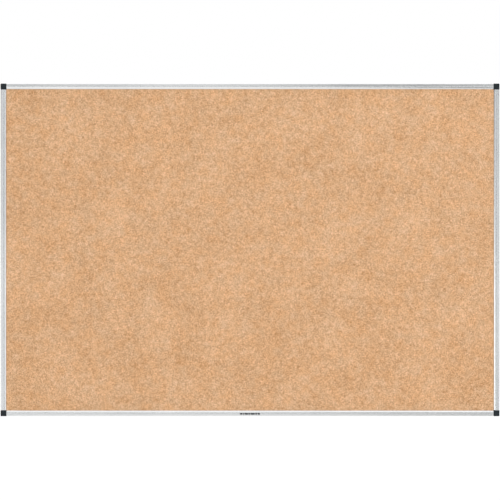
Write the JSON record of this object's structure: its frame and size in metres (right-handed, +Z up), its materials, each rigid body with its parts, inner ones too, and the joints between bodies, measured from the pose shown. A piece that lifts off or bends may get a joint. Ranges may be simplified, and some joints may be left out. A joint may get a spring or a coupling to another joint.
{
  "type": "cork bulletin board",
  "caption": "Flat rectangular cork pinning board in a slim aluminium frame with dark plastic corners; wall screws sit hidden under push-fit corner caps.",
  "frame": {"origin": "centre of the board on the wall plane, which is the plane of the corner brackets' backs", "axes": "+Z up, +X to the right as seen from the front, +Y into the wall; the cork faces -Y"},
  "size_m": [1.5, 0.0204, 1],
  "materials": {
    "cork": "fine-grain agglomerated cork, matt",
    "softboard": "wood-fibre softboard, matt",
    "liner": "grey-brown liner paper, matt",
    "rail_aluminium": "natural anodised, satin",
    "corner_plastic": "anthracite moulded plastic, fine spark texture",
    "screw_zinc": "bright zinc plate"
  },
  "bodies": {
    "board": {"cork_sheet": "cork", "softboard_core": "softboard", "back_liner": "liner", "top_rail": "rail_aluminium", "bottom_rail": "rail_aluminium", "left_rail": "rail_aluminium", "right_rail": "rail_aluminium", "bracket_top_left": "corner_plastic", "bracket_top_right": "corner_plastic", "bracket_bottom_left": "corner_plastic", "bracket_bottom_right": "corner_plastic", "rail_screw_top_left": "screw_zinc", "rail_screw_top_right": "screw_zinc", "rail_screw_bottom_left": "screw_zinc", "rail_screw_bottom_right": "screw_zinc", "rail_screw_left_top": "screw_zinc", "rail_screw_left_bottom": "screw_zinc", "rail_screw_right_top": "screw_zinc", "rail_screw_right_bottom": "screw_zinc"},
    "cap_top_left": {"cap_top_left": "corner_plastic"},
    "cap_top_right": {"cap_top_right": "corner_plastic"},
    "cap_bottom_left": {"cap_bottom_left": "corner_plastic"},
    "cap_bottom_right": {"cap_bottom_right": "corner_plastic"}
  },
  "joints": [
    {"name": "cap_top_left_pull", "type": "slide", "parent": "board", "child": "cap_top_left", "axis": [0, -1, 0], "range_m": [0, 0.016]},
    {"name": "cap_top_right_pull", "type": "slide", "parent": "board", "child": "cap_top_right", "axis": [0, -1, 0], "range_m": [0, 0.016]},
    {"name": "cap_bottom_left_pull", "type": "slide", "parent": "board", "child": "cap_bottom_left", "axis": [0, -1, 0], "range_m": [0, 0.016]},
    {"name": "cap_bottom_right_pull", "type": "slide", "parent": "board", "child": "cap_bottom_right", "axis": [0, -1, 0], "range_m": [0, 0.016]}
  ]
}
